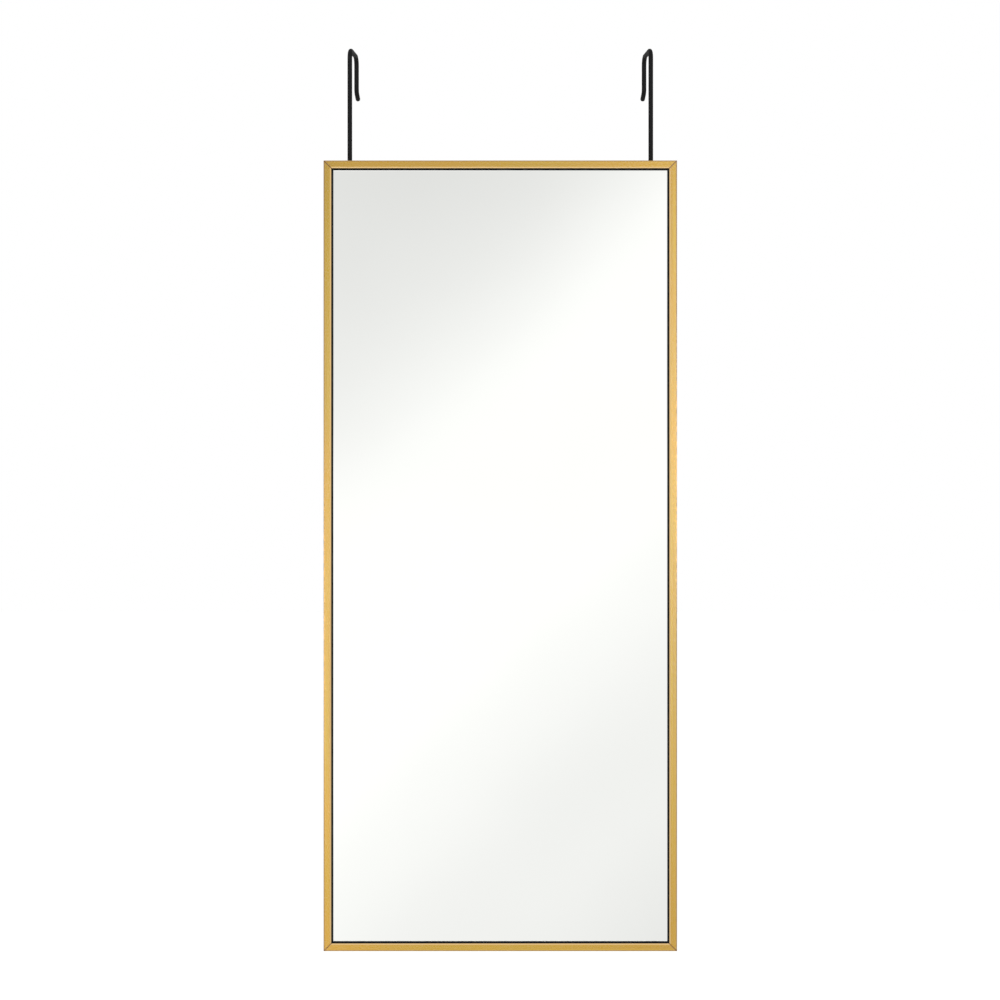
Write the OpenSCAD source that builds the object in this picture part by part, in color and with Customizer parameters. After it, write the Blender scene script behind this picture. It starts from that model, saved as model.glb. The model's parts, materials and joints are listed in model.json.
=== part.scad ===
// Over the door mirror.
// A mirror in a mitred metal frame hangs on two round rods. Each rod hooks over
// the top of a door, and turns, slides and locks in a block behind the top rail.
// The origin is midway between the hooks, under their bridges, in the plane of
// the door's face. X runs along the door, Y points through it and Z points up.

/* [Frame] */
// Width of the frame
frame_w = 406; // [320:1:600]
// Height of the frame
frame_h = 908; // [600:1:1500]
// Width of the frame's front lip
face_w = 8.8; // [8:0.1:12]
// Thickness of the frame's front lip
lip_t = 1.6; // [1.2:0.1:2.4]
// Thickness of the frame's outer side wall
wall_t = 1.6; // [1.2:0.1:2.4]
// Rounding of the frame's outer edges
arris_r = 0.8; // [0.3:0.1:1.1]
// Width of the bevel on the lip's inner edge
bevel_w = 1.4; // [0.5:0.1:2.5]
// Depth of the bevel on the lip's inner edge
bevel_d = 0.8; // [0.3:0.1:1]
// Gap between the two faces of a mitre
mitre_gap = 0.1; // [0.05:0.01:0.3]

/* [Rear channel] */
// Clear depth of the channel that holds cleats and hanger blocks
channel_d = 11.3; // [10.8:0.1:16]
// Width of the rib and of the rear flange, from the outside inwards
flange_w = 7.4; // [7:0.1:9]
// Thickness of the rib in front of the channel
rib_t = 1.2; // [1:0.1:2]
// Thickness of the rear flange
flange_t = 1.6; // [1.3:0.1:2.4]

/* [Mirror and backing] */
// How far the gasket shows past the lip
gasket_show = 1.9; // [1:0.1:3]
// Thickness of the gasket strips
gasket_t = 1.4; // [1:0.1:2.5]
// Bevel on the gasket's inner front edge
gasket_bevel = 0.5; // [0.2:0.1:0.8]
// Thickness of the mirror glass
glass_t = 3; // [2:0.5:5]
// Thickness of the safety film on the glass
film_t = 0.3; // [0.2:0.05:0.5]
// Thickness of the foam sheet
foam_t = 1; // [0.5:0.1:2]
// Thickness of the backing board
board_t = 3; // [2:0.5:5]
// Gap between the frame's side wall and the edges of glass and board
edge_gap = 1; // [0.5:0.1:1.5]

/* [Spring clips] */
// Depth of the gap that a bowed clip fills
clip_rise = 1.6; // [1.2:0.1:2.5]
// Thickness of a clip
clip_t = 0.5; // [0.3:0.1:0.7]
// Length of a clip
clip_l = 46; // [30:1:60]
// Width of a clip
clip_w = 10; // [7:0.5:14]
// Clips along each stile
clips_per_stile = 4; // [2:1:6]
// Clips along each rail
clips_per_rail = 2; // [1:1:3]

/* [Corner cleats] */
// Length of a cleat's legs
cleat_l = 16; // [14:0.5:24]
// Width of a cleat's legs
cleat_w = 5; // [4.6:0.1:5.6]

/* [Hanger blocks] */
// Width of a block along the rail
block_w = 20; // [19:0.5:28]
// Height of a block
block_h = 22; // [20:0.5:34]
// Gap between a corner cleat and the block beside it
block_gap = 1.4; // [0.5:0.1:10]
// Distance between a block's two fixing screws
block_screw_pitch = 14; // [13.5:0.1:15]

/* [Screws] */
// Radius of the countersunk screws' shanks
screw_r = 1.5; // [1.2:0.05:1.6]
// Radius of the countersunk heads
screw_head_r = 2.7; // [2.4:0.05:2.8]
// Height of the countersunk heads
screw_head_h = 1.4; // [1:0.1:1.6]
// Length of the countersunk screws
screw_l = 7; // [5:0.5:9]
// Width of the cross recess in their heads
recess_w = 0.6; // [0.4:0.1:0.8]
// Depth of the cross recess
recess_d = 0.8; // [0.5:0.1:0.9]

/* [Hooks] */
// Diameter of a rod with its powder coat
rod_d = 5.4; // [4.5:0.1:6]
// From the rod's axis to the axis of the leg behind the door
hook_reach = 51.5; // [40:0.5:75]
// Height from the frame's top edge to the door's top edge
hang_h = 128; // [100:1:260]
// Radius of the two bends over the door, at the rod's axis
bend_r = 10; // [7:0.5:15]
// Height of the straight leg, from the bridge's axis to the kick
leg_h = 36.4; // [25:0.1:80]
// Radius of the kick's bend
kick_r = 8; // [5:0.5:14]
// Angle of the kick
kick_angle = 60; // [20:1:80]
// Straight length after the kick's bend, with the rounded tip
kick_l = 10; // [5:0.1:20]
// Rounding of the tip
tip_r = 2.2; // [1:0.1:2.2]
// How far each hook is turned inwards about its rod
hook_turn = 5.3; // [0:0.1:20]

/* [Rod guides] */
// Wall of the split sleeve round the rod
sleeve_wall = 1.05; // [0.8:0.05:1.3]
// Width of the sleeve's slot
slot_w = 0.8; // [0.5:0.1:1.5]
// Thickness of the flange under the sleeve
sleeve_flange_t = 1.2; // [0.8:0.1:2]
// How far that flange stands past the sleeve
sleeve_flange_w = 1.5; // [1:0.1:1.8]
// How far the hooks can be pulled up from the height shown
travel_up = 40; // [10:1:120]

/* [Thumb screws] */
// Radius of the threaded shank
thumb_r = 2; // [1.5:0.1:2.5]
// Radius of the knurled head
thumb_head_r = 5.4; // [4:0.1:5.8]
// Length of the knurled head
thumb_head_l = 8; // [5:0.5:12]
// Gap between the block and the head
thumb_head_gap = 1.2; // [0.5:0.1:3]
// Grooves round the head
knurl_count = 24; // [12:1:30]
// Radius of a groove
knurl_r = 0.4; // [0.2:0.05:0.5]

/* [Stop nuts] */
// Radius of the rod's thread
thread_r = 2.2; // [2:0.05:2.2]
// Width of a nut across its flats
nut_flats = 8; // [7:0.1:9]
// Height of a nut
nut_h = 4; // [3:0.1:6]
// Length of thread below the nut
thread_past = 2; // [1:0.1:5]

/* [Bumpers] */
// Thickness of the bumpers
bumper_t = 2; // [1:0.1:4]
// Radius of the bumpers
bumper_r = 3.6; // [3:0.1:3.9]
// Bevel round a bumper's resting face
bumper_bevel = 0.5; // [0.2:0.1:0.8]
// From a bumper to the frame's outside
bumper_margin = 0.2; // [0.1:0.1:0.4]

/* [Clearances] */
// Clearance of pieces that slot into the channel
slot_gap = 0.1; // [0.05:0.01:0.2]
// Radial clearance of the rod in its sleeve and of the sleeve in its block
turn_fit = 0.05; // [0.03:0.01:0.08]
// Radial clearance of screws in their holes
screw_fit = 0.04; // [0.02:0.01:0.08]
// Gap between pieces that press on each other
touch_gap = 0.03; // [0.01:0.01:0.05]
// Gap left where a travel ends
stop_gap = 0.3; // [0.2:0.05:0.5]

/* [Hidden] */
$fn = 64;
past = 1;               // how far a cutting shape reaches past what it cuts
flat_arc_fn = 720;      // steps of a large circle of which only a short arc is used

// depths behind the frame's front face, layer by layer
glass_at = lip_t + gasket_t;
film_at = glass_at + glass_t;
foam_at = film_at + film_t;
board_at = foam_at + foam_t;
clip_at = board_at + board_t;
rib_at = clip_at + clip_rise;
channel_at = rib_at + rib_t;
flange_at = channel_at + channel_d;
frame_d = flange_at + flange_t;

// places of the frame and of the rods
back_y = -bumper_t;
front_y = back_y - frame_d;
top_z = -hang_h;
mid_z = top_z - frame_h / 2;
slot_start = wall_t + slot_gap;
slot_d = channel_d - 2 * slot_gap;
channel_y = front_y + channel_at + channel_d / 2;
rod_x = frame_w / 2 - slot_start - cleat_l - block_gap - block_w / 2;
rod_r = rod_d / 2;
seam_r = rod_r + 0.02;
sleeve_in_r = rod_r + turn_fit;
sleeve_r = sleeve_in_r + sleeve_wall;
bore_r = sleeve_r + turn_fit;
block_top_z = top_z - slot_start;
block_bottom_z = block_top_z - block_h;
sleeve_bottom_z = block_bottom_z - sleeve_flange_t;
nut_top_z = sleeve_bottom_z - travel_up - stop_gap;
thread_end_z = nut_top_z - nut_h - thread_past;
thumb_z = (block_bottom_z + top_z - flange_w) / 2;
screw_u = slot_start + cleat_w / 2;     // the fixing screws' distance from the outside
cleat_screw_at = slot_start + (cleat_l + cleat_w) / 2;

gold = "#C9A04A";
black = "#1C1C1E";
steel = "#B9BCC0";
zinc = "#9A9EA4";
nylon = "#2A2A2C";

// ---- the frame's profile: x runs inwards from the outside, y back from the front
module round_corner(r) {
    difference() {
        translate([-past, -past]) square(r + past);
        translate([r, r]) circle(r);
        translate([r, -2 * past]) square([r + past, r + 3 * past]);
        translate([-2 * past, r]) square([r + 3 * past, r + past]);
    }
}

module profile() {
    difference() {
        union() {
            square([wall_t, frame_d]);
            square([face_w, lip_t]);
            translate([0, rib_at]) square([flange_w, rib_t]);
            translate([0, flange_at]) square([flange_w, flange_t]);
        }
        round_corner(arris_r);
        translate([0, frame_d]) mirror([0, 1]) round_corner(arris_r);
        polygon([
            [face_w - bevel_w, 0],
            [face_w - bevel_w, -past],
            [face_w + past, -past],
            [face_w + past, bevel_d],
            [face_w, bevel_d]
        ]);
    }
}

module gasket_profile() {
    edge = face_w + gasket_show;
    difference() {
        translate([slot_start, lip_t]) square([edge - slot_start, gasket_t]);
        polygon([
            [edge - gasket_bevel, lip_t],
            [edge - gasket_bevel, lip_t - past],
            [edge + past, lip_t - past],
            [edge + past, lip_t + gasket_bevel],
            [edge, lip_t + gasket_bevel]
        ]);
    }
}

// a bar of the given length, cut at 45 degrees at both ends; it starts at the origin,
// runs along z and has its outside at x = 0
module mitred(length) {
    deep = frame_d + 2 * past;
    reach = face_w + gasket_show + past;
    cut = mitre_gap / sqrt(2);
    intersection() {
        linear_extrude(height = length) children();
        translate([0, deep - past, 0])
            rotate([90, 0, 0])
                linear_extrude(height = deep)
                    polygon([
                        [-past, cut - past],
                        [reach, cut + reach],
                        [reach, length - cut - reach],
                        [-past, length - cut + past]
                    ]);
    }
}

module upright() {
    translate([-frame_w / 2, front_y, top_z - frame_h])
        mitred(frame_h) children();
}

module crosswise() {
    translate([-frame_w / 2, front_y, top_z])
        rotate([0, 90, 0])
            mitred(frame_w) children();
}

module to_right() {
    mirror([1, 0, 0]) children();
}

module to_bottom() {
    translate([0, 0, mid_z]) mirror([0, 0, 1]) translate([0, 0, -mid_z]) children();
}

module both_sides() {
    children();
    to_right() children();
}

module at_rod() {
    translate([-rod_x, channel_y, 0]) children();
}

// ---- countersunk screws, driven from the back; the head is flush with the frame's back
module screw_shape(fit = 0) {
    rotate([90, 0, 0]) {
        cylinder(h = screw_head_h, r1 = screw_head_r + fit, r2 = screw_r + fit);
        cylinder(h = screw_l + fit, r = screw_r + fit);
    }
}

module screw_hole() {
    screw_shape(screw_fit);
}

module screw() {
    difference() {
        screw_shape();
        for (turn = [0, 90])
            rotate([0, turn, 0])
                translate([-screw_head_r * 0.6, -recess_d, -recess_w / 2])
                    cube([screw_head_r * 1.2, recess_d + past, recess_w]);
    }
}

module at_cleat_screws() {
    corner = [-frame_w / 2, back_y, top_z];
    translate(corner + [cleat_screw_at, 0, -screw_u]) children();
    translate(corner + [screw_u, 0, -cleat_screw_at]) children();
}

module at_block_screws() {
    for (side = [-1, 1])
        translate([-rod_x + side * block_screw_pitch / 2, back_y, top_z - screw_u])
            children();
}

// ---- the four bars of the frame
module rail_bar() {
    difference() {
        crosswise() profile();
        both_sides() at_cleat_screws() screw_hole();
    }
}

module stile_bar() {
    difference() {
        upright() profile();
        at_cleat_screws() screw_hole();
        to_bottom() at_cleat_screws() screw_hole();
    }
}

module top_rail() {
    color(gold) difference() {
        rail_bar();
        both_sides() at_block_screws() screw_hole();
        both_sides() at_rod()
            translate([0, 0, top_z - wall_t - past])
                cylinder(h = wall_t + 2 * past, r = bore_r);
    }
}

module bottom_rail() {
    color(gold) to_bottom() rail_bar();
}

module left_stile() {
    color(gold) stile_bar();
}

module right_stile() {
    color(gold) to_right() stile_bar();
}

// ---- gasket strips between the lip and the glass
module gasket_top() {
    color(black) crosswise() gasket_profile();
}

module gasket_bottom() {
    color(black) to_bottom() crosswise() gasket_profile();
}

module gasket_left() {
    color(black) upright() gasket_profile();
}

module gasket_right() {
    color(black) to_right() upright() gasket_profile();
}

// ---- the sheets, each as large as the frame's inside less a gap all round
module sheet(at, thickness) {
    inset = wall_t + edge_gap;
    translate([inset - frame_w / 2, front_y + at, top_z - frame_h + inset])
        cube([frame_w - 2 * inset, thickness, frame_h - 2 * inset]);
}

module mirror_glass() {
    color("#DDE2E0") sheet(glass_at, glass_t);
}

module safety_film() {
    color("#7C8288") sheet(film_at, film_t);
}

module foam_sheet() {
    color("#F0F0EC") sheet(foam_at, foam_t);
}

module backing_board() {
    color("#8A6A45") sheet(board_at, board_t);
}

// ---- bowed spring clips: both ends press on the board, the middle on the rib
module clip() {
    bow = clip_rise - clip_t - 2 * touch_gap;
    half = clip_l / 2;
    in_r = (half * half + bow * bow) / (2 * bow);
    translate([wall_t + edge_gap, rib_at - touch_gap - in_r - clip_t, 0])
        rotate([0, 90, 0])
            linear_extrude(height = clip_w)
                intersection() {
                    difference() {
                        circle(in_r + clip_t, $fn = flat_arc_fn);
                        circle(in_r, $fn = flat_arc_fn);
                    }
                    translate([-half, 0]) square([clip_l, in_r + clip_t + past]);
                }
}

module spring_clips() {
    color(steel) {
        both_sides()
            for (i = [0 : clips_per_stile - 1])
                translate([-frame_w / 2, front_y, top_z - frame_h * (i + 0.5) / clips_per_stile])
                    clip();
        for (i = [0 : clips_per_rail - 1])
            rail_clip(frame_w * ((i + 0.5) / clips_per_rail - 0.5));
        to_bottom()
            for (i = [0 : clips_per_rail - 1])
                rail_clip(frame_w * ((i + 0.5) / clips_per_rail - 0.5));
    }
}

module rail_clip(x) {
    translate([x, front_y, top_z]) rotate([0, 90, 0]) clip();
}

// ---- corner cleats in the rear channel
module cleat() {
    difference() {
        translate([slot_start - frame_w / 2, front_y + channel_at + slot_gap, top_z - slot_start]) {
            translate([0, 0, -cleat_w]) cube([cleat_l, slot_d, cleat_w]);
            translate([0, 0, -cleat_l]) cube([cleat_w, slot_d, cleat_l]);
        }
        at_cleat_screws() screw_hole();
    }
}

module cleat_top_left() {
    color(zinc) cleat();
}

module cleat_top_right() {
    color(zinc) to_right() cleat();
}

module cleat_bottom_left() {
    color(zinc) to_bottom() cleat();
}

module cleat_bottom_right() {
    color(zinc) to_right() to_bottom() cleat();
}

module cleat_screws() {
    color(steel) both_sides() {
        at_cleat_screws() screw();
        to_bottom() at_cleat_screws() screw();
    }
}

// ---- hanger blocks, screwed into the top rail's channel
module hanger_block() {
    chamfer = block_w / 10;
    half = block_w / 2;
    difference() {
        translate([-rod_x, channel_y + slot_d / 2, 0])
            rotate([90, 0, 0])
                linear_extrude(height = slot_d)
                    polygon([
                        [-half, block_top_z],
                        [half, block_top_z],
                        [half, block_bottom_z + chamfer],
                        [half - chamfer, block_bottom_z],
                        [chamfer - half, block_bottom_z],
                        [-half, block_bottom_z + chamfer]
                    ]);
        at_rod()
            translate([0, 0, block_bottom_z - past])
                cylinder(h = block_h + 2 * past, r = bore_r);
        at_rod()
            translate([0, 0, thumb_z])
                rotate([0, 90, 0])
                    cylinder(h = half + past, r = thumb_r + screw_fit);
        at_block_screws() screw_hole();
    }
}

module left_hanger_block() {
    color(zinc) hanger_block();
}

module right_hanger_block() {
    color(zinc) to_right() hanger_block();
}

module hanger_screws() {
    color(steel) both_sides() at_block_screws() screw();
}

// ---- split sleeves, flush with the frame's top, with a flange under the block
module sleeve() {
    flange_top_z = block_bottom_z - touch_gap;
    at_rod() difference() {
        union() {
            translate([0, 0, sleeve_bottom_z])
                cylinder(h = top_z - sleeve_bottom_z, r = sleeve_r);
            translate([0, 0, sleeve_bottom_z])
                cylinder(h = flange_top_z - sleeve_bottom_z, r = sleeve_r + sleeve_flange_w);
        }
        translate([0, 0, sleeve_bottom_z - past])
            cylinder(h = top_z - sleeve_bottom_z + 2 * past, r = sleeve_in_r);
        translate([-2 * sleeve_r, -slot_w / 2, sleeve_bottom_z - past])
            cube([2 * sleeve_r, slot_w, top_z - sleeve_bottom_z + 2 * past]);
    }
}

module left_sleeve() {
    color(nylon) sleeve();
}

module right_sleeve() {
    color(nylon) to_right() sleeve();
}

// ---- thumb screws: the tip squeezes the sleeve, the head lies in the recess
module thumb_screw() {
    tip = sleeve_r + touch_gap;
    head = block_w / 2 + thumb_head_gap;
    at_rod() translate([0, 0, thumb_z]) rotate([0, 90, 0]) difference() {
        union() {
            translate([0, 0, tip]) cylinder(h = head - tip, r = thumb_r);
            translate([0, 0, head]) knurled_head();
        }
        translate([-thumb_head_r, -recess_w, head + thumb_head_l - recess_d])
            cube([2 * thumb_head_r, 2 * recess_w, recess_d + past]);
    }
}

module knurled_head() {
    bevel = 2 * knurl_r;
    difference() {
        union() {
            cylinder(h = bevel, r1 = thumb_head_r - bevel, r2 = thumb_head_r);
            translate([0, 0, bevel]) cylinder(h = thumb_head_l - 2 * bevel, r = thumb_head_r);
            translate([0, 0, thumb_head_l - bevel])
                cylinder(h = bevel, r1 = thumb_head_r, r2 = thumb_head_r - bevel);
        }
        for (i = [0 : knurl_count - 1])
            rotate(360 / knurl_count * i)
                translate([thumb_head_r, 0, -past])
                    cylinder(h = thumb_head_l + 2 * past, r = knurl_r);
    }
}

module left_thumb_screw() {
    color(steel) thumb_screw();
}

module right_thumb_screw() {
    color(steel) to_right() thumb_screw();
}

// ---- hooks: a rod bent step by step, each step starting where the last one ends
module straight(length) {
    cylinder(h = length, r = rod_r);
    translate([0, 0, length]) children();
}

// a quarter bend from the z axis towards y
module quarter(r) {
    translate([0, r, 0])
        rotate([90, 0, -90])
            rotate_extrude(angle = 90) translate([r, 0]) circle(rod_r);
}

module square_bend(r) {
    quarter(r);
    translate([0, r, 0]) rotate([-90, 0, 0]) translate([0, -r, 0]) children();
}

// a bend of less than a quarter: what lies past its end plane is cut off, and a ball
// a hair wider than the rod makes a clean seam with what follows
module slight_bend(r, angle) {
    far = r + rod_d;
    union() {
        difference() {
            quarter(r);
            translate([0, r, 0])
                rotate([-angle, 0, 0])
                    translate([-rod_d, -far, 0])
                        cube([2 * rod_d, 2 * far, far]);
        }
        translate([0, r, 0]) rotate([-angle, 0, 0]) translate([0, -r, 0]) sphere(seam_r);
    }
    translate([0, r, 0]) rotate([-angle, 0, 0]) translate([0, -r, 0]) children();
}

module round_ended(length) {
    rotate_extrude()
        difference() {
            square([rod_r, length]);
            translate([rod_r - tip_r, length - tip_r])
                difference() {
                    square(tip_r + past);
                    circle(tip_r);
                }
        }
}

module hook() {
    bridge_z = rod_r;
    at_rod() rotate(-hook_turn) {
        translate([0, 0, thread_end_z]) cylinder(h = nut_top_z - thread_end_z, r = thread_r);
        translate([0, 0, nut_top_z])
            straight(bridge_z - bend_r - nut_top_z)
                square_bend(bend_r)
                    straight(hook_reach - 2 * bend_r)
                        square_bend(bend_r)
                            straight(leg_h - bend_r)
                                rotate(180)
                                    slight_bend(kick_r, kick_angle)
                                        round_ended(kick_l);
    }
}

module left_hook() {
    color(black) hook();
}

module right_hook() {
    color(black) to_right() hook();
}

// ---- stop nuts on the rods' lower ends
module stop_nut() {
    corner_r = nut_flats / 2 / cos(30);
    at_rod() translate([0, 0, nut_top_z - nut_h]) difference() {
        intersection() {
            cylinder(h = nut_h, r = corner_r, $fn = 6);
            union() {
                cylinder(h = nut_h / 2, r1 = nut_flats / 2, r2 = nut_flats / 2 + nut_h);
                translate([0, 0, nut_h / 2])
                    cylinder(h = nut_h / 2, r1 = nut_flats / 2 + nut_h, r2 = nut_flats / 2);
            }
        }
        translate([0, 0, -past]) cylinder(h = nut_h + 2 * past, r = thread_r + screw_fit);
    }
}

module left_stop_nut() {
    color(steel) stop_nut();
}

module right_stop_nut() {
    color(steel) to_right() stop_nut();
}

// ---- bumpers at the back corners
module bumper() {
    inset = bumper_r + bumper_margin;
    translate([inset - frame_w / 2, back_y, top_z - inset])
        rotate([-90, 0, 0]) {
            cylinder(h = bumper_t - bumper_bevel, r = bumper_r);
            translate([0, 0, bumper_t - bumper_bevel])
                cylinder(h = bumper_bevel, r1 = bumper_r, r2 = bumper_r - bumper_bevel);
        }
}

module bumper_top_left() {
    color("#D8D8D2") bumper();
}

module bumper_top_right() {
    color("#D8D8D2") to_right() bumper();
}

module bumper_bottom_left() {
    color("#D8D8D2") to_bottom() bumper();
}

module bumper_bottom_right() {
    color("#D8D8D2") to_right() to_bottom() bumper();
}

top_rail();
bottom_rail();
left_stile();
right_stile();
gasket_top();
gasket_bottom();
gasket_left();
gasket_right();
mirror_glass();
safety_film();
foam_sheet();
backing_board();
spring_clips();
cleat_top_left();
cleat_top_right();
cleat_bottom_left();
cleat_bottom_right();
cleat_screws();
left_hanger_block();
right_hanger_block();
hanger_screws();
left_sleeve();
right_sleeve();
left_thumb_screw();
right_thumb_screw();
left_hook();
right_hook();
left_stop_nut();
right_stop_nut();
bumper_top_left();
bumper_top_right();
bumper_bottom_left();
bumper_bottom_right();
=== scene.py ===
import json
import math

import bmesh
import bpy
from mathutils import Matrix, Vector


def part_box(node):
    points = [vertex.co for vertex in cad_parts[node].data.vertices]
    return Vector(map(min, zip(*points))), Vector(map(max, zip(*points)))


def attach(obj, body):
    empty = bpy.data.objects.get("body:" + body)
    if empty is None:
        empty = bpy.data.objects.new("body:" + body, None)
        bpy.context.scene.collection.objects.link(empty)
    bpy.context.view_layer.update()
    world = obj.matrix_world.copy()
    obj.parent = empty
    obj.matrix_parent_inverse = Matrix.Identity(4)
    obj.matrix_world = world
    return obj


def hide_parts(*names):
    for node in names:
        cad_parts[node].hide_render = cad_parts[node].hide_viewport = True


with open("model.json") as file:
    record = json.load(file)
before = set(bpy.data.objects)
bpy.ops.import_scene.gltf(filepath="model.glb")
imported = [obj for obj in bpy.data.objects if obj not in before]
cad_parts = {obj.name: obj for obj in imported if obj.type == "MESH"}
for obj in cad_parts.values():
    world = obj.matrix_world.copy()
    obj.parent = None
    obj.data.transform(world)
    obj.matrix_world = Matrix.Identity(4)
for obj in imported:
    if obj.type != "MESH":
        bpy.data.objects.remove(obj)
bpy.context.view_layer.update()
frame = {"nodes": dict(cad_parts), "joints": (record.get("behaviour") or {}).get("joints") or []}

mm = 0.001
nodes = frame["nodes"]
scene = bpy.context.scene
scene.view_settings.view_transform = "Standard"
print("frame loaded:", len(nodes), "nodes")

# the frame's outer faces, the width of its gold face, half the width of mirror that shows, and the
# axes that the rods turn about
leftLow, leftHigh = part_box("left_stile")
railLow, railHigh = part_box("top_rail")
frameFront = railLow.y
frameHalfWidth = -leftLow.x
frameTop = railHigh.z
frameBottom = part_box("bottom_rail")[0].z
frameMiddle = (frameTop + frameBottom) / 2
frameHalfHeight = (frameTop - frameBottom) / 2
lipWidth = leftHigh.x - leftLow.x
sightHalfWidth = -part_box("gasket_left")[1].x
rodPlace = {j["name"]: Vector(j["pos_m"]) for j in frame["joints"] if "hook_turn" in j["name"]}


# camera
view = {
    "distance": 2.8,        # metres from the lens to the frame's front
    "lens": 87.8,           # at this distance the frame is as large as in the photograph
    "aside": -0.35 * mm,    # across from the middle between the hooks
    "height": -517.9 * mm,  # from the door's top edge
}

camera = bpy.data.objects.new("camera", bpy.data.cameras.new("camera"))
camera.data.lens = view["lens"]
camera.data.sensor_width = 36
camera.data.clip_end = 100
camera.location = (view["aside"], frameFront - view["distance"], view["height"])
camera.rotation_euler = (math.radians(90), 0, 0)
scene.collection.objects.link(camera)
scene.camera = camera
print("camera placed")


# helpers for materials
noiseLow, noiseHigh = 0.3, 0.7      # the span that most of a noise texture's values fill


def linear(code):
    # an sRGB hex colour as linear red, green, blue and alpha
    parts = [int(code[i:i + 2], 16) / 255 for i in (1, 3, 5)]
    return tuple(c / 12.92 if c <= 0.04045 else ((c + 0.055) / 1.055) ** 2.4 for c in parts) + (1.0,)


def addNode(tree, kind, inputs=None, stops=None, **settings):
    # one shader node: settings are its properties, inputs are values or links by socket, stops a ramp's
    node = tree.nodes.new("ShaderNode" + kind)
    for name, value in settings.items():
        setattr(node, name, value)
    if stops:
        ramp = node.color_ramp
        while len(ramp.elements) < len(stops):
            ramp.elements.new(1.0)
        for element, (position, colour) in zip(ramp.elements, stops):
            element.position = position
            element.color = colour
    for socket, value in (inputs or {}).items():
        if isinstance(value, bpy.types.NodeSocket):
            tree.links.new(value, node.inputs[socket])
        else:
            node.inputs[socket].default_value = value
    return node


def newTree(name):
    material = bpy.data.materials.new(name)
    material.use_nodes = True
    material.node_tree.nodes.clear()
    return material, material.node_tree


def patternPlace(tree, x, y, z):
    # object coordinates divided by a pattern's size along each axis, given in millimetres
    place = addNode(tree, "TexCoord")
    scaled = addNode(tree, "Mapping", {
        0: place.outputs["Object"], 3: (1 / (x * mm), 1 / (y * mm), 1 / (z * mm))})
    return scaled.outputs[0]


def dressed(material, **inputs):
    # closes a material with its surface shader, whose sockets are named with _ for a space
    tree = material.node_tree
    inputs = {name.replace("_", " "): value for name, value in inputs.items()}
    shader = addNode(tree, "BsdfPrincipled", inputs)
    addNode(tree, "OutputMaterial", {"Surface": shader.outputs[0]})
    return material


# studio
studio = {
    "floor": -2.03,             # metres: the mirror hangs on a door of common height
    "floorSize": 60,
    "floorColour": "#E9E9E7",
    "floorLift": 0.5,           # what the floor needs on top of its own light to look white
    "floorDim": (0.2, 0.25),    # how much less of it metal and mirror see, far off and near
    "floorNear": 0.8,           # metres before the door where the floor is dimmest
    "ambient": 0.72,
    "ambientColour": "#F6F7F8",
    "sideStart": 0.75,          # a direction's share across or up at which the dimming starts
    "sideLevel": 0.78,          # what metal and mirror see straight to the side
    "ceilingStart": 0.25,
    "ceilingLevel": 0.98,       # and straight above
}


def seenDirectly(tree):
    # 1 for rays from the camera, from metal and from glass, 0 for those that gather light for matt things
    rays = addNode(tree, "LightPath")
    both = addNode(tree, "Math", {0: rays.outputs["Is Camera Ray"], 1: rays.outputs["Is Glossy Ray"]},
                   operation="MAXIMUM")
    return addNode(tree, "Math", {0: both.outputs[0], 1: rays.outputs["Is Transmission Ray"]},
                   operation="MAXIMUM").outputs[0]


def buildWorld():
    world = bpy.data.worlds.new("white studio")
    world.use_nodes = True
    tree = world.node_tree
    tree.nodes.clear()
    soft = addNode(tree, "Background", {
        "Color": linear(studio["ambientColour"]), "Strength": studio["ambient"]})
    # metal and mirror see it dim towards the sides, and a little towards the ceiling, which gives the
    # bars their shape
    place = addNode(tree, "TexCoord")
    parts = addNode(tree, "SeparateXYZ", {0: place.outputs["Generated"]})
    sideways = addNode(tree, "Math", {0: parts.outputs["X"]}, operation="ABSOLUTE")
    sides = addNode(tree, "MapRange", {
        "Value": sideways.outputs[0], "From Min": studio["sideStart"], "From Max": 1.0,
        "To Min": 1.0, "To Max": studio["sideLevel"]}, interpolation_type="SMOOTHSTEP")
    ceiling = addNode(tree, "MapRange", {
        "Value": parts.outputs["Z"], "From Min": studio["ceilingStart"], "From Max": 1.0,
        "To Min": 1.0, "To Max": studio["ceilingLevel"]}, interpolation_type="SMOOTHSTEP")
    level = addNode(tree, "Math", {0: sides.outputs[0], 1: ceiling.outputs[0]}, operation="MULTIPLY")
    rays = addNode(tree, "LightPath")
    level = addNode(tree, "Mix", {
        0: rays.outputs["Is Camera Ray"], 2: level.outputs[0], 3: 1.0}, data_type="FLOAT")
    white = addNode(tree, "Background", {"Color": (1, 1, 1, 1), "Strength": level.outputs[0]})
    both = addNode(tree, "MixShader", {0: seenDirectly(tree), 1: soft.outputs[0], 2: white.outputs[0]})
    addNode(tree, "OutputWorld", {"Surface": both.outputs[0]})
    scene.world = world


def addSheet(name, half, upright, material):
    # a square of the set, lying on the floor or standing across the view
    corners = [(-half, -half), (half, -half), (half, half), (-half, half)]
    mesh = bpy.data.meshes.new(name)
    mesh.from_pydata([(a, 0, b) if upright else (a, b, 0) for a, b in corners], [], [(0, 1, 2, 3)])
    mesh.materials.append(material)
    sheet = bpy.data.objects.new(name, mesh)
    scene.collection.objects.link(sheet)
    return sheet


def showInReflections(sheet):
    # metal, mirror and glass see the sheet, and it lights nothing else
    sheet.visible_camera = False
    sheet.visible_diffuse = False
    sheet.visible_shadow = False


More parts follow.
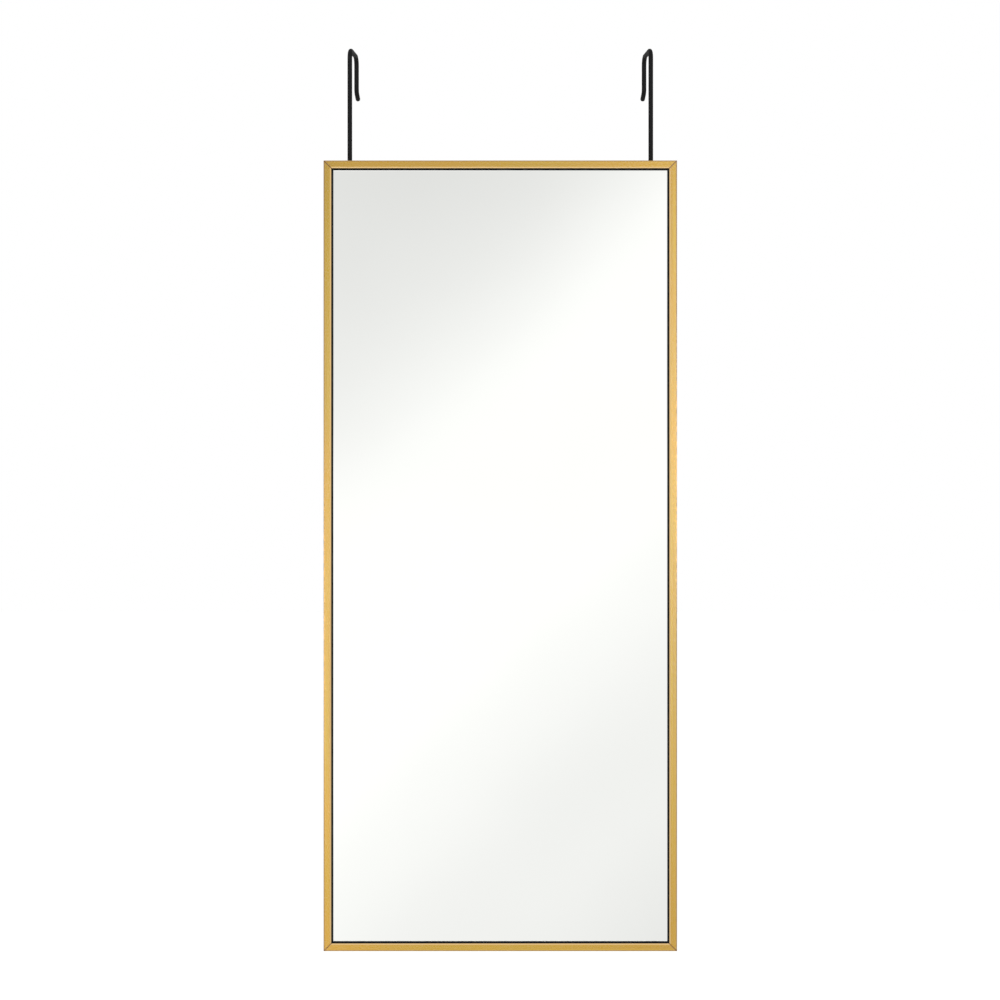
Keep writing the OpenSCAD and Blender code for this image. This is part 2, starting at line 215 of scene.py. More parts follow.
def buildFloor():
    material, tree = newTree("pale matte floor")
    matte = addNode(tree, "BsdfDiffuse", {"Color": linear(studio["floorColour"])})
    # metal and mirror see the floor dimmer, a little more so near the door than by the wall
    place = addNode(tree, "TexCoord")
    parts = addNode(tree, "SeparateXYZ", {0: place.outputs["Object"]})
    farDim, nearDim = studio["floorDim"]
    fade = addNode(tree, "MapRange", {
        "Value": parts.outputs["Y"], "From Min": -card["distance"], "From Max": -studio["floorNear"],
        "To Min": studio["floorLift"] - farDim, "To Max": studio["floorLift"] - nearDim},
        interpolation_type="SMOOTHSTEP")
    direct = addNode(tree, "LightPath")
    level = addNode(tree, "Mix", {
        0: direct.outputs["Is Camera Ray"], 2: fade.outputs[0], 3: studio["floorLift"]}, data_type="FLOAT")
    lift = addNode(tree, "Math", {0: seenDirectly(tree), 1: level.outputs[0]}, operation="MULTIPLY")
    glow = addNode(tree, "Emission", {"Color": (1, 1, 1, 1), "Strength": lift.outputs[0]})
    both = addNode(tree, "AddShader", {0: matte.outputs[0], 1: glow.outputs[0]})
    addNode(tree, "OutputMaterial", {"Surface": both.outputs[0]})
    material.cycles.emission_sampling = "NONE"      # nothing is lit by the glow, it is only seen
    floor = addSheet("floor", studio["floorSize"] / 2, False, material)
    floor.location.z = studio["floor"]


# The wall before the mirror, which the mirror and the metal reflect: white, with soft shade across what
# the mirror shows, and lighter and darker parts outside it that shape the bars.
# Centres (across, up) and radii are in metres, from the camera's height; a stop is how far in from a
# patch's rim, and how much light it adds there or takes away.
card = {
    "distance": 4.6,            # from the door
    "half": 3.4,                # half its width and height
    "darkest": 0.15,            # no patch takes it below this
    "clouds": 0.012,
    "cloudSizes": (900, 900, 700),      # millimetres
    "patches": [
        {"name": "wall light", "centre": (0.0, 0.0), "radii": (3.3, 3.3), "turn": 0,
         "stops": [(0.0, 0.0), (0.3, 0.02), (1.0, 0.025)]},
        {"name": "upper shade", "centre": (0.45, 2.5), "radii": (3.3, 1.08), "turn": 58,
         "stops": [(0.0, 0.0), (0.06, -0.014), (0.15, -0.078), (0.3, -0.185), (0.5, -0.27), (0.8, -0.5)]},
        {"name": "lower shade", "centre": (0.33, -2.1), "radii": (4.7, 1.4), "turn": 46,
         "stops": [(0.0, 0.0), (0.06, -0.028), (0.16, -0.06), (0.3, -0.116), (0.5, -0.136), (0.8, -0.25)]},
        {"name": "light above", "centre": (0.0, 2.22), "radii": (3.3, 1.2), "turn": 0,
         "stops": [(0.0, 0.0), (0.06, 0.21), (0.3, 0.44), (1.0, 0.44)]},
        {"name": "dark upper left", "centre": (-1.5, 1.1), "radii": (1.0, 1.2), "turn": 0,
         "stops": [(0.0, 0.0), (0.08, -0.2), (0.25, -0.42), (1.0, -0.42)]},
        {"name": "dark upper right", "centre": (1.5, 1.1), "radii": (1.0, 1.2), "turn": 0,
         "stops": [(0.0, 0.0), (0.1, -0.18), (0.25, -0.3), (1.0, -0.3)]},
        {"name": "dark lower left", "centre": (-1.5, -1.6), "radii": (1.0, 0.8), "turn": 0,
         "stops": [(0.0, 0.0), (0.15, -0.14), (0.4, -0.2), (1.0, -0.2)]},
        {"name": "light below", "centre": (0.0, -2.55), "radii": (3.3, 1.2), "turn": 0,
         "stops": [(0.0, 0.0), (0.06, 0.24), (0.3, 0.5), (1.0, 0.5)]},
    ],
}


def buildCard():
    material, tree = newTree("studio wall card")
    place = addNode(tree, "TexCoord")
    level = 1.0
    for patch in card["patches"]:
        across, up = patch["centre"]
        wide, high = patch["radii"]
        spot = addNode(tree, "Mapping", {
            0: place.outputs["Object"], 1: (across, 0, up), 2: (0, math.radians(-patch["turn"]), 0),
            3: (wide, 1, high)}, vector_type="TEXTURE", label=patch["name"])
        inward = addNode(tree, "TexGradient", {0: spot.outputs[0]}, gradient_type="SPHERICAL")
        light = addNode(tree, "FloatCurve", {1: inward.outputs[1]})
        curve = light.mapping.curves[0]
        light.mapping.use_clip = False
        while len(curve.points) < len(patch["stops"]):
            curve.points.new(0.5, 0.5)
        for point, (position, gain) in zip(curve.points, patch["stops"]):
            point.location = (position, gain)
            point.handle_type = "AUTO_CLAMPED"
        light.mapping.update()
        level = addNode(tree, "Math", {0: level, 1: light.outputs[0]}, operation="ADD").outputs[0]
    # a faint cloudiness, as a painted wall under soft light has
    clouds = addNode(tree, "TexNoise", {
        "Vector": patternPlace(tree, *card["cloudSizes"]), "Scale": 1.0, "Detail": 2.0})
    cloud = addNode(tree, "MapRange", {
        "Value": clouds.outputs[0], "From Min": noiseLow, "From Max": noiseHigh,
        "To Min": -card["clouds"], "To Max": card["clouds"]})
    level = addNode(tree, "Math", {0: level, 1: cloud.outputs[0]}, operation="ADD").outputs[0]
    level = addNode(tree, "Math", {0: level, 1: card["darkest"]}, operation="MAXIMUM").outputs[0]
    glow = addNode(tree, "Emission", {"Color": (1, 1, 1, 1), "Strength": level})
    addNode(tree, "OutputMaterial", {"Surface": glow.outputs[0]})
    material.cycles.emission_sampling = "NONE"      # only seen, as the floor's glow
    sheet = addSheet("studio_card", card["half"], True, material)
    sheet.location = (0, -card["distance"], view["height"])
    showInReflections(sheet)


# two soft boxes just before the wall, beside what the mirror shows: they put the pale sheen on the
# stiles; places (across, up from the camera's height) and radii are in metres, light is the glow's
# strength in the middle
softBoxGap = 0.1
softBoxRim = (0.05, 0.85)       # how far in from the rim the cloth starts to glow and is at its full light
softBoxes = {
    "left_soft_box": {"place": (-1.18, -0.3), "radii": (0.6, 0.8), "light": 32.0},
    "right_soft_box": {"place": (1.18, 0.1), "radii": (0.6, 0.65), "light": 60.0},
}


def buildSoftBox(name, box):
    material, tree = newTree(name.replace("_", " ") + " cloth")
    place = addNode(tree, "TexCoord")
    wide, high = box["radii"]
    spot = addNode(tree, "Mapping", {0: place.outputs["Object"], 3: (1 / wide, 1, 1 / high)})
    inward = addNode(tree, "TexGradient", {0: spot.outputs[0]}, gradient_type="SPHERICAL")
    light = addNode(tree, "MapRange", {
        "Value": inward.outputs[1], "From Min": softBoxRim[0], "From Max": softBoxRim[1]},
        interpolation_type="SMOOTHSTEP")
    glow = addNode(tree, "Emission", {"Color": light.outputs[0], "Strength": box["light"]})
    clear = addNode(tree, "BsdfTransparent")
    both = addNode(tree, "AddShader", {0: glow.outputs[0], 1: clear.outputs[0]})
    addNode(tree, "OutputMaterial", {"Surface": both.outputs[0]})
    sheet = addSheet(name, max(wide, high), True, material)
    across, up = box["place"]
    sheet.location = (across, softBoxGap - card["distance"], view["height"] + up)
    showInReflections(sheet)


# square lamps in metres and watts, all aimed at the frame's middle
lamps = {
    "key": {"place": (-1.9, -3.4, 1.3), "size": 1.6, "power": 40},
    "fill": {"place": (2.1, -3.5, 0.1), "size": 2.0, "power": 26},
    "back": {"place": (1.4, 2.6, 1.6), "size": 1.8, "power": 30},
}


def addLamp(name, settings):
    lamp = bpy.data.lights.new(name, "AREA")
    lamp.shape = "SQUARE"
    lamp.size = settings["size"]
    lamp.energy = settings["power"]
    holder = bpy.data.objects.new(name, lamp)
    holder.location = settings["place"]
    aim = Vector((0, 0, frameMiddle)) - Vector(settings["place"])
    holder.rotation_euler = aim.to_track_quat("-Z", "Y").to_euler()
    holder.visible_glossy = False       # the mirror shows the set, not the lamps
    scene.collection.objects.link(holder)


buildWorld()
buildFloor()
buildCard()
for name, box in softBoxes.items():
    buildSoftBox(name, box)
for name, settings in lamps.items():
    addLamp(name, settings)
print("studio lit")


# materials: sizes, widths, depths and heights in their dictionaries are in millimetres
gold = {
    "colour": "#D4AC20",
    "streak": "#C29816",
    "warm": "#D79E20",
    # the next colour is a painted highlight: the pale light that the inner bevel catches
    "edge": "#E2BC7C",
    # the next colour is painted shade: the darker surroundings that the outer edge reflects
    "outside": "#A07C50",
    # the next colour is painted shade in the hairline gap where the mitred bars meet
    "seam": "#7A4708",
    "streakSize": (600, 3.0),       # along and across; real brush lines are far finer and wouldn't show
    "lineSize": (400, 1.6),
    "lineHeight": 0.008,
    "patchSize": 170,
    "blend": (0.35, 0.65),          # noise values between which streaks and patches come in
    "warmShare": 0.6,
    "edgeHighlightWidth": (1.3, 1.5),        # the painted highlight on the inner bevel: how wide it is all pale, and where it ends
    "outsideWidth": (0.9, 1.5),     # the same for the painted shade on the outer edge, across the face
    "outsideDepth": (0.6, 1.1),     # and back from it
    "seamWidth": (0.3, 1.3),
    "cover": 0.85,                  # how much of the gold the painted shade on the outer edge and in the seams hides
    "roughness": (0.035, 0.075),
    "spread": 0.2,
    "skinWeight": 0.5,
    "skinRoughness": 0.32,
    "skinIor": 1.77,                # aluminium oxide, which anodising grows on the metal
}


def brushedGold(name, along):
    # gold anodised aluminium, brushed along the bar: dyed metal under a clear satin skin, with soft streaks,
    # a painted highlight along the inner bevel, and painted shade on the outer edge and in the mitre seams
    material, tree = newTree(name)
    long, across = gold["streakSize"]
    sizes = (long, across, across) if along == "x" else (across, across, long)
    streaks = addNode(tree, "TexNoise", {"Vector": patternPlace(tree, *sizes), "Scale": 1.0, "Detail": 1.0})
    long, across = gold["lineSize"]
    sizes = (long, across, across) if along == "x" else (across, across, long)
    lines = addNode(tree, "TexNoise", {"Vector": patternPlace(tree, *sizes), "Scale": 1.0, "Detail": 1.0})
    size = gold["patchSize"]
    slow = addNode(tree, "TexNoise", {
        "Vector": patternPlace(tree, size, size, size), "Scale": 1.0, "Detail": 1.0})
    low, high = gold["blend"]
    streakShare = addNode(tree, "MapRange", {
        "Value": streaks.outputs[0], "From Min": low, "From Max": high})
    slowShare = addNode(tree, "MapRange", {
        "Value": slow.outputs[0], "From Min": low, "From Max": high, "To Max": gold["warmShare"]})
    body = addNode(tree, "Mix", {
        0: streakShare.outputs[0], 6: linear(gold["colour"]), 7: linear(gold["streak"])}, data_type="RGBA")
    body = addNode(tree, "Mix", {
        0: slowShare.outputs[0], 6: body.outputs[2], 7: linear(gold["warm"])}, data_type="RGBA")
    # distances from the frame's outside, across and up
    place = addNode(tree, "TexCoord")
    parts = addNode(tree, "SeparateXYZ", {0: place.outputs["Object"]})
    up = addNode(tree, "Math", {0: parts.outputs["Z"], 1: frameMiddle}, operation="SUBTRACT")
    insets = []
    for value, half in [(parts.outputs["X"], frameHalfWidth), (up.outputs[0], frameHalfHeight)]:
        size = addNode(tree, "Math", {0: value}, operation="ABSOLUTE")
        insets.append(addNode(tree, "Math", {0: half, 1: size.outputs[0]}, operation="SUBTRACT").outputs[0])
    nearest = addNode(tree, "Math", {0: insets[0], 1: insets[1]}, operation="MINIMUM")
    # painted highlight: the inner bevel's band gets a paler colour for the light it catches
    pale, start = gold["edgeHighlightWidth"]
    edge = addNode(tree, "MapRange", {
        "Value": nearest.outputs[0], "From Min": lipWidth - start * mm, "From Max": lipWidth - pale * mm})
    body = addNode(tree, "Mix", {
        0: edge.outputs[0], 6: body.outputs[2], 7: linear(gold["edge"])}, data_type="RGBA")
    # painted shade: the outer edge of the front face gets a darker colour for the darker surroundings it
    # reflects
    near, far = gold["outsideWidth"]
    outside = addNode(tree, "MapRange", {
        "Value": nearest.outputs[0], "From Min": near * mm, "From Max": far * mm,
        "To Min": gold["cover"], "To Max": 0.0})
    near, far = gold["outsideDepth"]
    front = addNode(tree, "MapRange", {
        "Value": parts.outputs["Y"], "From Min": frameFront + near * mm, "From Max": frameFront + far * mm,
        "To Min": 1.0, "To Max": 0.0})
    outside = addNode(tree, "Math", {0: outside.outputs[0], 1: front.outputs[0]}, operation="MULTIPLY")
    body = addNode(tree, "Mix", {
        0: outside.outputs[0], 6: body.outputs[2], 7: linear(gold["outside"])}, data_type="RGBA")
    # painted shade along the mitre seam, which runs where both distances are the same
    apart = addNode(tree, "Math", {0: insets[0], 1: insets[1]}, operation="SUBTRACT")
    apart = addNode(tree, "Math", {0: apart.outputs[0]}, operation="ABSOLUTE")
    near, far = gold["seamWidth"]
    seam = addNode(tree, "MapRange", {
        "Value": apart.outputs[0], "From Min": near * mm, "From Max": far * mm,
        "To Min": gold["cover"], "To Max": 0.0})
    body = addNode(tree, "Mix", {
        0: seam.outputs[0], 6: body.outputs[2], 7: linear(gold["seam"])}, data_type="RGBA")
    smooth, dull = gold["roughness"]
    rough = addNode(tree, "MapRange", {
        "Value": streaks.outputs[0], "From Min": noiseLow, "From Max": noiseHigh,
        "To Min": smooth, "To Max": dull})
    bump = addNode(tree, "Bump", {
        "Height": lines.outputs[0], "Strength": 0.1, "Distance": gold["lineHeight"] * mm})
    # brushing spreads a reflection across its lines
    spread = addNode(tree, "CombineXYZ", {"Z": 1.0} if along == "x" else {"X": 1.0})
    return dressed(material, Base_Color=body.outputs[2], Metallic=1.0, Roughness=rough.outputs[0],
                   Anisotropic=gold["spread"], Tangent=spread.outputs[0],
                   Coat_Weight=gold["skinWeight"], Coat_Roughness=gold["skinRoughness"],
                   Coat_IOR=gold["skinIor"], Normal=bump.outputs[0])


gasketLook = {
    "dark": "#0A0A0B",
    "light": "#171718",
    "grainSize": 0.8,
    "grainHeight": 0.03,
    "roughness": 0.82,
    "ior": 1.4,
    "specular": 0.15,           # dusty rubber gives hardly any shine
}


def blackRubber():
    # extruded rubber: dead matte, deep black between the gold and the mirror, with a faint grain
    material, tree = newTree("extruded rubber gasket")
    size = gasketLook["grainSize"]
    grain = addNode(tree, "TexNoise", {
        "Vector": patternPlace(tree, size, size, size), "Scale": 1.0, "Detail": 4.0})
    colour = addNode(tree, "Mix", {
        0: grain.outputs[0], 6: linear(gasketLook["dark"]), 7: linear(gasketLook["light"])},
        data_type="RGBA")
    bump = addNode(tree, "Bump", {
        "Height": grain.outputs[0], "Strength": 0.2, "Distance": gasketLook["grainHeight"] * mm})
    return dressed(material, Base_Color=colour.outputs[2], Roughness=gasketLook["roughness"],
                   IOR=gasketLook["ior"], Specular_IOR_Level=gasketLook["specular"],
                   Normal=bump.outputs[0])


mirrorLook = {
    "tints": ("#FCFDFA", "#FEFFFC"),
    "waveSize": (140, 140, 210),
    "waveHeight": 0.02,
    "roughness": 0.012,
}


def silveredGlass():
    # float glass silvered on its back: a clear reflection that the glass's slow waves bend a little
    material, tree = newTree("silvered float glass")
    waves = addNode(tree, "TexNoise", {
        "Vector": patternPlace(tree, *mirrorLook["waveSize"]), "Scale": 1.0, "Detail": 1.0})
    low, high = mirrorLook["tints"]
    tint = addNode(tree, "Mix", {0: waves.outputs[0], 6: linear(low), 7: linear(high)}, data_type="RGBA")
    bump = addNode(tree, "Bump", {
        "Height": waves.outputs[0], "Strength": 1.0, "Distance": mirrorLook["waveHeight"] * mm})
    return dressed(material, Base_Color=tint.outputs[2], Metallic=1.0, Roughness=mirrorLook["roughness"],
                   Normal=bump.outputs[0])


def greenGlassEdge():
    # the cut edge of float glass: deep green, with the grinding's fine lines
    material, tree = newTree("ground float glass edge")
    lines = addNode(tree, "TexNoise", {"Vector": patternPlace(tree, 4, 0.3, 4), "Scale": 1.0, "Detail": 2.0})
    colour = addNode(tree, "Mix", {
        0: lines.outputs[0], 6: linear("#5F8F7C"), 7: linear("#A9C9BC")}, data_type="RGBA")
    return dressed(material, Base_Color=colour.outputs[2], Roughness=0.22, IOR=1.52)


rodLook = {
    "dark": "#060607",
    "light": "#0E0E0F",
    "peelSize": 0.9,
    "peelHeight": 0.03,
    "patchSize": 14,
    "roughness": (0.62, 0.74),
    "ior": 1.3,
    "specular": 0.35,
}


def powderCoat():
    # black powder coat baked on steel rod: nearly matt, deep black, with the coat's fine orange peel
    material, tree = newTree("black powder coat")
    size = rodLook["peelSize"]
    peel = addNode(tree, "TexNoise", {
        "Vector": patternPlace(tree, size, size, size), "Scale": 1.0, "Detail": 2.0})
    size = rodLook["patchSize"]
    slow = addNode(tree, "TexNoise", {
        "Vector": patternPlace(tree, size, size, size), "Scale": 1.0, "Detail": 2.0})
    colour = addNode(tree, "Mix", {
        0: slow.outputs[0], 6: linear(rodLook["dark"]), 7: linear(rodLook["light"])}, data_type="RGBA")
    smooth, dull = rodLook["roughness"]
    rough = addNode(tree, "MapRange", {"Value": slow.outputs[0], "To Min": smooth, "To Max": dull})
    bump = addNode(tree, "Bump", {
        "Height": peel.outputs[0], "Strength": 0.15, "Distance": rodLook["peelHeight"] * mm})
    return dressed(material, Base_Color=colour.outputs[2], Roughness=rough.outputs[0],
                   IOR=rodLook["ior"], Specular_IOR_Level=rodLook["specular"],
                   Normal=bump.outputs[0])


boardLook = {
    "fibres": [(0.3, "#6E4F31"), (0.5, "#916D47"), (0.7, "#B3906A")],     # noise values and colours
    "fibreSize": (4, 4, 1.3),
    "cloudSize": 120,
    "cloudShades": (0.86, 1.08),
    "screenPitch": 4,           # the wires lie 1.6 apart; drawn coarser, so that they show
    "screenShade": 0.82,
    "roughness": 0.78,
}


def hardboard():
    # pressed fibreboard, rough side out: mid brown with pale and dark fibres, and the imprint of the
    # press's wire screen
    material, tree = newTree("pressed hardboard")
    fibres = addNode(tree, "TexNoise", {
        "Vector": patternPlace(tree, *boardLook["fibreSize"]), "Scale": 1.0, "Detail": 5.0, "Roughness": 0.7})
    size = boardLook["cloudSize"]
    clouds = addNode(tree, "TexNoise", {
        "Vector": patternPlace(tree, size, size, size), "Scale": 1.0, "Detail": 4.0})
    colour = addNode(tree, "ValToRGB", {0: fibres.outputs[0]},
                     stops=[(position, linear(code)) for position, code in boardLook["fibres"]])
    darker, lighter = boardLook["cloudShades"]
    shade = addNode(tree, "MapRange", {
        "Value": clouds.outputs[0], "From Min": noiseLow, "From Max": noiseHigh,
        "To Min": darker, "To Max": lighter})
    colour = addNode(tree, "Mix", {
        0: 1.0, 6: colour.outputs[0], 7: shade.outputs[0]}, data_type="RGBA", blend_type="MULTIPLY")
    pitch = boardLook["screenPitch"]
    across = pitch / math.pi * 10       # a wave texture's bands lie pi / 10 of its space apart
    screens = []
    for direction in ("X", "Z"):
        screens.append(addNode(tree, "TexWave", {
            "Vector": patternPlace(tree, across, pitch, across), "Scale": 1.0, "Distortion": 0.0},
            bands_direction=direction).outputs[1])
    screen = addNode(tree, "Math", {0: screens[0], 1: screens[1]}, operation="MULTIPLY")
    dent = addNode(tree, "MapRange", {
        "Value": screen.outputs[0], "To Min": 1.0, "To Max": boardLook["screenShade"]})
    colour = addNode(tree, "Mix", {
        0: 1.0, 6: colour.outputs[2], 7: dent.outputs[0]}, data_type="RGBA", blend_type="MULTIPLY")
    height = addNode(tree, "Math", {0: fibres.outputs[0], 1: screen.outputs[0]}, operation="SUBTRACT")
    bump = addNode(tree, "Bump", {"Height": height.outputs[0], "Strength": 0.5, "Distance": 0.25 * mm})
    return dressed(material, Base_Color=colour.outputs[2], Roughness=boardLook["roughness"], IOR=1.45,
                   Normal=bump.outputs[0])


def plainMetal(name, light, dark, roughness, grainSizes, bumpHeight):
    # a bare or plated metal whose finish is a grain of the given sizes in millimetres, duller where dark
    material, tree = newTree(name)
    grain = addNode(tree, "TexNoise", {
        "Vector": patternPlace(tree, *grainSizes), "Scale": 1.0, "Detail": 3.0})
    share = addNode(tree, "MapRange", {
        "Value": grain.outputs[0], "From Min": noiseLow, "From Max": noiseHigh})
    colour = addNode(tree, "Mix", {0: share.outputs[0], 6: linear(dark), 7: linear(light)}, data_type="RGBA")
    rough = addNode(tree, "MapRange", {
        "Value": share.outputs[0], "To Min": roughness + 0.08, "To Max": roughness - 0.05})
    bump = addNode(tree, "Bump", {"Height": grain.outputs[0], "Strength": 0.4, "Distance": bumpHeight * mm})
    return dressed(material, Base_Color=colour.outputs[2], Metallic=1.0, Roughness=rough.outputs[0],
                   Normal=bump.outputs[0])


def plainPlastic(name, light, dark, roughness, ior, grain, bumpHeight):
    # a moulded, cast or painted plastic whose skin is a grain of the given size in millimetres, duller
    # where dark
    material, tree = newTree(name)
    skin = addNode(tree, "TexNoise", {
        "Vector": patternPlace(tree, grain, grain, grain), "Scale": 1.0, "Detail": 4.0})
    share = addNode(tree, "MapRange", {
        "Value": skin.outputs[0], "From Min": noiseLow, "From Max": noiseHigh})
    colour = addNode(tree, "Mix", {0: share.outputs[0], 6: linear(dark), 7: linear(light)}, data_type="RGBA")
    rough = addNode(tree, "MapRange", {
        "Value": share.outputs[0], "To Min": roughness + 0.05, "To Max": roughness - 0.05})
    bump = addNode(tree, "Bump", {"Height": skin.outputs[0], "Strength": 0.5, "Distance": bumpHeight * mm})
    return dressed(material, Base_Color=colour.outputs[2], Roughness=rough.outputs[0], IOR=ior,
                   Normal=bump.outputs[0])


goldAcross = brushedGold("brushed gold anodised aluminium, across", "x")
goldUpright = brushedGold("brushed gold anodised aluminium, upright", "z")
rubber = blackRubber()
mirrorSilver = silveredGlass()
glassEdge = greenGlassEdge()
coat = powderCoat()
board = hardboard()
# what these give the eye: flat grey satin paint, a smooth grey film with a soft gloss, white foam with
# fine cells, blue-grey steel, bright cool plating with a fine spangle, soft grey metal with lines from
# the die, bright warm plating, a dark moulded skin, and milky rubber
mirrorPaint = plainPlastic("mirror back paint", "#8B9196", "#7A8085", 0.5, 1.5, 6, 0.02)
polyesterFilm = plainPlastic("polyester safety film", "#8C9298", "#7C8288", 0.3, 1.6, 30, 0.01)
foam = plainPlastic("closed-cell polyethylene foam", "#F3F3EF", "#DEDED8", 0.85, 1.45, 0.9, 0.2)
springSteel = plainMetal("blued spring steel", "#8A8F97", "#5C626C", 0.3, (9, 9, 9), 0.01)
zincPlate = plainMetal("zinc plated steel", "#D4D5D6", "#A9ACAE", 0.3, (1.4, 1.4, 1.4), 0.02)
millAluminium = plainMetal("mill finish aluminium", "#C6C8CA", "#A2A5A8", 0.4, (0.7, 14, 0.7), 0.03)
nickelPlate = plainMetal("nickel plated steel", "#CEC8BD", "#AAA499", 0.2, (1.0, 1.0, 1.0), 0.01)
nylon = plainPlastic("moulded black nylon", "#2B2B2D", "#202022", 0.5, 1.53, 0.8, 0.03)
urethane = plainPlastic("cast polyurethane bumper", "#DEDED8", "#CFCFC8", 0.32, 1.5, 1.2, 0.02)

# the mirror glass and the hooks get a finish here too, although shaped pieces replace them below
finishes = {
    "top_rail": goldAcross, "bottom_rail": goldAcross, "left_stile": goldUpright, "right_stile": goldUpright,
    "safety_film": polyesterFilm, "foam_sheet": foam, "backing_board": board, "spring_clips": springSteel,
    "cleat_screws": zincPlate, "hanger_screws": zincPlate,
}
for name, node in nodes.items():
    if name.startswith("gasket_"):
        finish = rubber
    elif name.startswith("cleat_") and name != "cleat_screws" or name.endswith("hanger_block"):
        finish = millAluminium
    elif name.endswith("sleeve"):
        finish = nylon
    elif name.endswith("thumb_screw"):
        finish = nickelPlate
    elif name.endswith("stop_nut"):
        finish = zincPlate
    elif name.startswith("bumper_"):
        finish = urethane
    elif name.endswith("_hook"):
        finish = coat
    else:
        finish = finishes.get(name, mirrorSilver)
    node.data.materials.clear()
    node.data.materials.append(finish)
print("materials assigned")


# the mirror pane
pane = {
    "bevelWidth": 0.9,      # millimetres of polished bevel that show inside the gasket
    "bevelAngle": 11,
    "backChamfer": 0.4,     # millimetres
    "tuck": 0.2,            # how far under the gasket the bevel starts
    "sharpAngle": 2,        # edges sharper than this stay crisp
}


def addPiece(name, verts, faces, materials, body, replaced):
    # a piece of the visual model; each face comes with the number of its material
    mesh = bpy.data.meshes.new(name)
    mesh.from_pydata(verts, [], [f for f, _ in faces])
    for material in materials:
        mesh.materials.append(material)
    for polygon, (_, index) in zip(mesh.polygons, faces):
        polygon.material_index = index
    mesh.validate()
    mesh.update()
    piece = bpy.data.objects.new(name, mesh)
    scene.collection.objects.link(piece)
    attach(piece, body)
    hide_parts(*replaced)
    return piece


def finishMesh(piece, angle):
    # faces turned outwards, smooth but for edges sharper than the angle
    work = bmesh.new()
    work.from_mesh(piece.data)
    bmesh.ops.remove_doubles(work, verts=work.verts, dist=0.001 * mm)
    bmesh.ops.recalc_face_normals(work, faces=work.faces)
    work.to_mesh(piece.data)
    work.free()
    piece.data.shade_smooth()
    piece.data.set_sharp_from_angle(angle=math.radians(angle))


def buildPane():
    # rings of four corners, from the back's edge round to the front's
    low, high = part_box("mirror_glass")
    bevelIn = pane["bevelWidth"] * mm
    drop = bevelIn * math.tan(math.radians(pane["bevelAngle"]))
    under = -sightHalfWidth - low.x        # how far the glass runs under the gasket
    back, front = high.y, low.y
    chamfer, tuck = pane["backChamfer"] * mm, pane["tuck"] * mm
    rings = [(chamfer, back), (0, back - chamfer), (0, front + drop), (under - tuck, front + drop),
             (under + bevelIn, front)]
    verts, faces = [], []
    for inset, y in rings:
        for sx, sz in ((0, 0), (1, 0), (1, 1), (0, 1)):
            x = high.x - inset if sx else low.x + inset
            z = high.z - inset if sz else low.z + inset
            verts.append((x, y, z))
    # materials by number: 1 for the back chamfer, the side and the land under the gasket, 0 for the
    # bevel and the front, 2 for the back
    looks = [1, 1, 1, 0]
    for r, look in enumerate(looks):
        for k in range(4):
            a, b = r * 4 + k, r * 4 + (k + 1) % 4
            faces.append(((a, a + 4, b + 4, b), look))
    last = (len(rings) - 1) * 4
    faces.append(((last + 3, last + 2, last + 1, last), 0))
    faces.append(((0, 1, 2, 3), 2))
    piece = addPiece("mirror_pane", verts, faces, [mirrorSilver, glassEdge, mirrorPaint],
                     "frame", ["mirror_glass"])
    finishMesh(piece, pane["sharpAngle"])


buildPane()
print("mirror pane built")

# the hooks: a swept rod whose lower end is threaded, in millimetres and degrees
hook = {
    "radius": 2.7,
    "threadRadius": 2.2,
    "threadDepth": 0.3,
    "threadChamfer": 0.4,
    "pitch": 0.8,
    "threadLength": 6,
    "shoulder": 0.25,       # the chamfer above the thread
    "reach": 51.5,          # from the rod's centre line to the leg's
    "bendRadius": 10,
    "legHeight": 36.4,      # from the bridge's centre line down to the kicked-out end
    "kickRadius": 8,
    "kickAngle": 60,
    "kickLength": 10,
    "tipRadius": 2.2,
    "turn": 5.3,            # how far each hook stands turned inwards
    "sharpAngle": 35,
    "sides": 40,
    "threadRings": 10,      # in each turn of the thread
    "straightRings": 12,
    "bendRings": 8,         # at least, or one for every bendStep
    "bendStep": 5,
    "tipRings": 8,
}


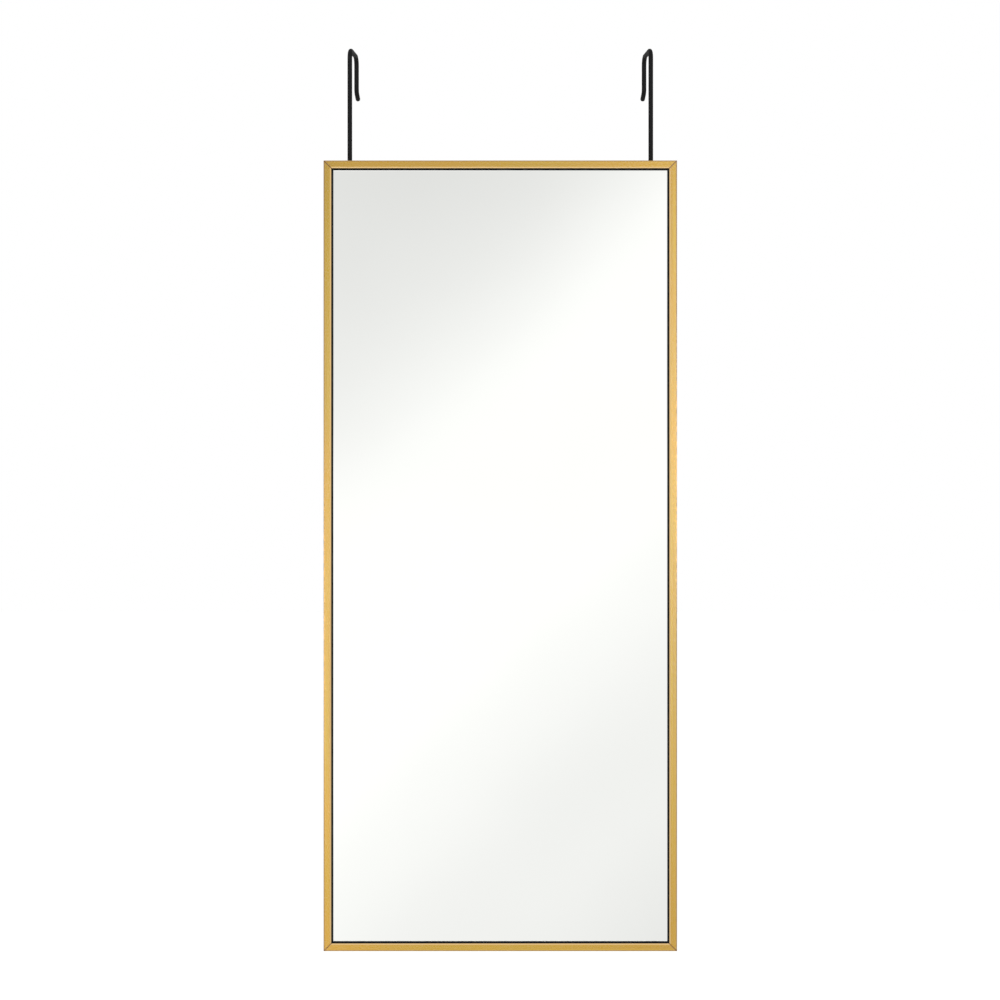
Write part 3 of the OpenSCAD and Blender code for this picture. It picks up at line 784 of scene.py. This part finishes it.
def rodStops():
    # along the rod: how far out and how high its centre is, the way it runs there, and its radius
    top = hook["radius"]                    # the bridge's centre line, above the door's top
    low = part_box("left_hook")[0].z / mm + hook["threadLength"]
    r, bend, shoulder = hook["radius"], hook["bendRadius"], hook["shoulder"]
    stops = [(0, low, 90, hook["threadRadius"]), (0, low, 90, r - shoulder), (0, low + shoulder, 90, r)]
    count = hook["straightRings"]
    for k in range(1, count):
        stops.append((0, low + (top - bend - low) * k / count, 90, r))
    out, up, angle = 0.0, top - bend, 90.0
    for radius, turn, length in [
        (bend, -90, hook["reach"] - 2 * bend),
        (bend, -90, hook["legHeight"] - bend),
        (hook["kickRadius"], hook["kickAngle"], hook["kickLength"]),
    ]:
        # a bend about a centre beside the rod, then a straight
        side = math.copysign(1, turn)
        normal = math.radians(angle + 90 * side)
        cx, cz = out + radius * math.cos(normal), up + radius * math.sin(normal)
        steps = max(hook["bendRings"], int(abs(turn) / hook["bendStep"]))
        for k in range(steps + 1):
            now = angle + turn * k / steps
            spoke = math.radians(now - 90 * side)
            out, up = cx + radius * math.cos(spoke), cz + radius * math.sin(spoke)
            stops.append((out, up, now, r))
        angle += turn
        way = math.radians(angle)
        last = turn == hook["kickAngle"]
        run = length - hook["tipRadius"] if last else length
        stops.append((out + run * math.cos(way), up + run * math.sin(way), angle, r))
        out, up = out + length * math.cos(way), up + length * math.sin(way)
    # the rounded tip
    way = math.radians(angle)
    count = hook["tipRings"]
    for k in range(1, count + 1):
        lean = math.radians(90 * k / count)
        back = hook["tipRadius"] * (1 - math.sin(lean))
        slim = hook["tipRadius"] * (1 - math.cos(lean))
        stops.append((out - back * math.cos(way), up - back * math.sin(way), angle, r - slim))
    return stops


def threadStops():
    # along the thread, from the rod's chamfered end upwards: height, and radius over the crests
    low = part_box("left_hook")[0].z / mm
    steps = int(hook["threadLength"] / hook["pitch"] * hook["threadRings"])
    for k in range(steps + 1):
        height = low + hook["threadLength"] * k / steps
        yield height, hook["threadRadius"] - max(0.0, hook["threadChamfer"] - (height - low))


def buildHook(name, side, body):
    # rings swept up the thread, then along the rod, in the hook's own upright plane; side is -1 for
    # the left hook and 1 for the right one
    pivot = rodPlace[name + "_turn"]
    lean = math.radians(90 + side * hook["turn"])
    outward = Vector((math.cos(lean), math.sin(lean), 0))
    aside = Vector((-outward.y, outward.x, 0))
    up = Vector((0, 0, 1))
    count = hook["sides"]
    verts, faces = [], []

    def addRing(centre, across, radii):
        verts.extend(centre + (across * math.cos(a) + aside * math.sin(a)) * (r * mm)
                     for a, r in zip((2 * math.pi * k / count for k in range(count)), radii))

    base = Vector((pivot.x, pivot.y, 0))
    for height, radius in threadStops():
        radii = []
        for k in range(count):
            phase = (height / hook["pitch"] - k / count) % 1.0
            radii.append(radius - hook["threadDepth"] * abs(2 * phase - 1))
        addRing(base + up * (height * mm), -outward, radii)
    for far, height, angle, radius in rodStops():
        way = math.radians(angle)
        across = outward * -math.sin(way) + up * math.cos(way)
        addRing(base + outward * (far * mm) + up * (height * mm), across, [radius] * count)
    rings = len(verts) // count
    for r in range(rings - 1):
        for k in range(count):
            a, b = r * count + k, r * count + (k + 1) % count
            faces.append(((a, b, b + count, a + count), 0))
    faces.append((tuple(range(count))[::-1], 0))
    faces.append((tuple(range((rings - 1) * count, rings * count)), 0))
    piece = addPiece(name + "_rod", verts, faces, [coat], body, [name])
    finishMesh(piece, hook["sharpAngle"])


for name, side in (("left_hook", -1), ("right_hook", 1)):
    buildHook(name, side, name.replace("hook", "hanger"))
print("hooks built")
